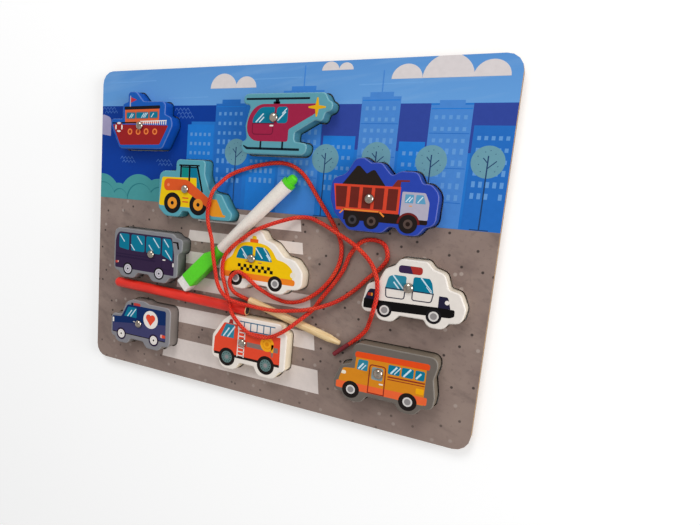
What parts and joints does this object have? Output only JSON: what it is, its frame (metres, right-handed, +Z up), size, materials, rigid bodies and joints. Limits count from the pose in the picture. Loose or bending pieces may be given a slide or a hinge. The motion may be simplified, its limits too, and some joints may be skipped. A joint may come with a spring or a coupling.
{
  "type": "magnetic fishing puzzle",
  "caption": "Flat wooden peg-style puzzle board whose vehicle pieces carry steel pins and lift out with a magnet rod; a dry-wipe marker and a corded needle lie on it.",
  "frame": {"origin": "centre of the board's underside, on the surface that it lies on", "axes": "+X along the board's long side, to the right of the printed scene; +Y towards the scene's sky; +Z up out of the printed face"},
  "size_m": [0.295, 0.225, 0.0217],
  "materials": {
    "printed_board": "plywood with a printed street scene, satin",
    "white_board": "thin board with a smooth white writing face",
    "steel_pin": "polished steel",
    "boat_paint": "printed wooden piece, satin",
    "helicopter_paint": "printed wooden piece, satin",
    "wheel_loader_paint": "printed wooden piece, satin",
    "dump_truck_paint": "printed wooden piece, satin",
    "coach_paint": "printed wooden piece, satin",
    "taxi_paint": "printed wooden piece, satin",
    "police_car_paint": "printed wooden piece, satin",
    "ambulance_paint": "printed wooden piece, satin",
    "fire_engine_paint": "printed wooden piece, satin",
    "school_bus_paint": "printed wooden piece, satin",
    "green_plastic": "glossy moulded plastic",
    "white_plastic": "glossy moulded plastic",
    "white_felt": "pressed felt",
    "green_fibre": "inked fibre",
    "red_lacquer": "glossy lacquer on a turned wooden rod",
    "ferrite": "matte dark ferrite",
    "bare_birch": "sanded, bare",
    "red_cord": "braided",
    "dull_red_sleeve": "stiff sleeve, matte"
  },
  "bodies": {
    "board": {"frame_panel": "printed_board", "base_panel": "white_board"},
    "boat_piece": {"boat": "boat_paint", "boat_pin": "steel_pin"},
    "helicopter_piece": {"helicopter": "helicopter_paint", "helicopter_pin": "steel_pin"},
    "wheel_loader_piece": {"wheel_loader": "wheel_loader_paint", "wheel_loader_pin": "steel_pin"},
    "dump_truck_piece": {"dump_truck": "dump_truck_paint", "dump_truck_pin": "steel_pin"},
    "coach_piece": {"coach": "coach_paint", "coach_pin": "steel_pin"},
    "taxi_piece": {"taxi": "taxi_paint", "taxi_pin": "steel_pin"},
    "police_car_piece": {"police_car": "police_car_paint", "police_car_pin": "steel_pin"},
    "ambulance_piece": {"ambulance": "ambulance_paint", "ambulance_pin": "steel_pin"},
    "fire_engine_piece": {"fire_engine": "fire_engine_paint", "fire_engine_pin": "steel_pin"},
    "school_bus_piece": {"school_bus": "school_bus_paint", "school_bus_pin": "steel_pin"},
    "marker_cap_body": {"marker_cap": "green_plastic", "marker_eraser": "white_felt"},
    "marker_body": {"marker_barrel": "white_plastic", "marker_end_plug": "green_plastic", "marker_nose": "white_plastic", "marker_nib": "green_fibre", "ink_reservoir": "green_fibre"},
    "rod": {"magnet_rod": "red_lacquer", "rod_magnet": "ferrite"},
    "corded_needle": {"needle": "bare_birch", "cord": "red_cord", "cord_tip": "dull_red_sleeve"}
  },
  "joints": [
    {"name": "boat_lift", "type": "slide", "parent": "board", "child": "boat_piece", "axis": [0, 0, 1], "range_m": [0, 0.03]},
    {"name": "helicopter_lift", "type": "slide", "parent": "board", "child": "helicopter_piece", "axis": [0, 0, 1], "range_m": [0, 0.03]},
    {"name": "wheel_loader_lift", "type": "slide", "parent": "board", "child": "wheel_loader_piece", "axis": [0, 0, 1], "range_m": [0, 0.03]},
    {"name": "dump_truck_lift", "type": "slide", "parent": "board", "child": "dump_truck_piece", "axis": [0, 0, 1], "range_m": [0, 0.03]},
    {"name": "coach_lift", "type": "slide", "parent": "board", "child": "coach_piece", "axis": [0, 0, 1], "range_m": [0, 0.03]},
    {"name": "taxi_lift", "type": "slide", "parent": "board", "child": "taxi_piece", "axis": [0, 0, 1], "range_m": [0, 0.03]},
    {"name": "police_car_lift", "type": "slide", "parent": "board", "child": "police_car_piece", "axis": [0, 0, 1], "range_m": [0, 0.03]},
    {"name": "ambulance_lift", "type": "slide", "parent": "board", "child": "ambulance_piece", "axis": [0, 0, 1], "range_m": [0, 0.03]},
    {"name": "fire_engine_lift", "type": "slide", "parent": "board", "child": "fire_engine_piece", "axis": [0, 0, 1], "range_m": [0, 0.03]},
    {"name": "school_bus_lift", "type": "slide", "parent": "board", "child": "school_bus_piece", "axis": [0, 0, 1], "range_m": [0, 0.03]},
    {"name": "marker_lift", "type": "slide", "parent": "board", "child": "marker_cap_body", "axis": [0, 0, 1], "range_m": [0, 0.04]},
    {"name": "cap_pull", "type": "slide", "parent": "marker_cap_body", "child": "marker_body", "axis": [0.7071, 0.7071, 0], "range_m": [0, 0.022]},
    {"name": "rod_lift", "type": "slide", "parent": "board", "child": "rod", "axis": [0, 0, 1], "range_m": [0, 0.04]},
    {"name": "needle_lift", "type": "slide", "parent": "board", "child": "corded_needle", "axis": [0, 0, 1], "range_m": [0, 0.04], "deforming": ["cord"]}
  ]
}
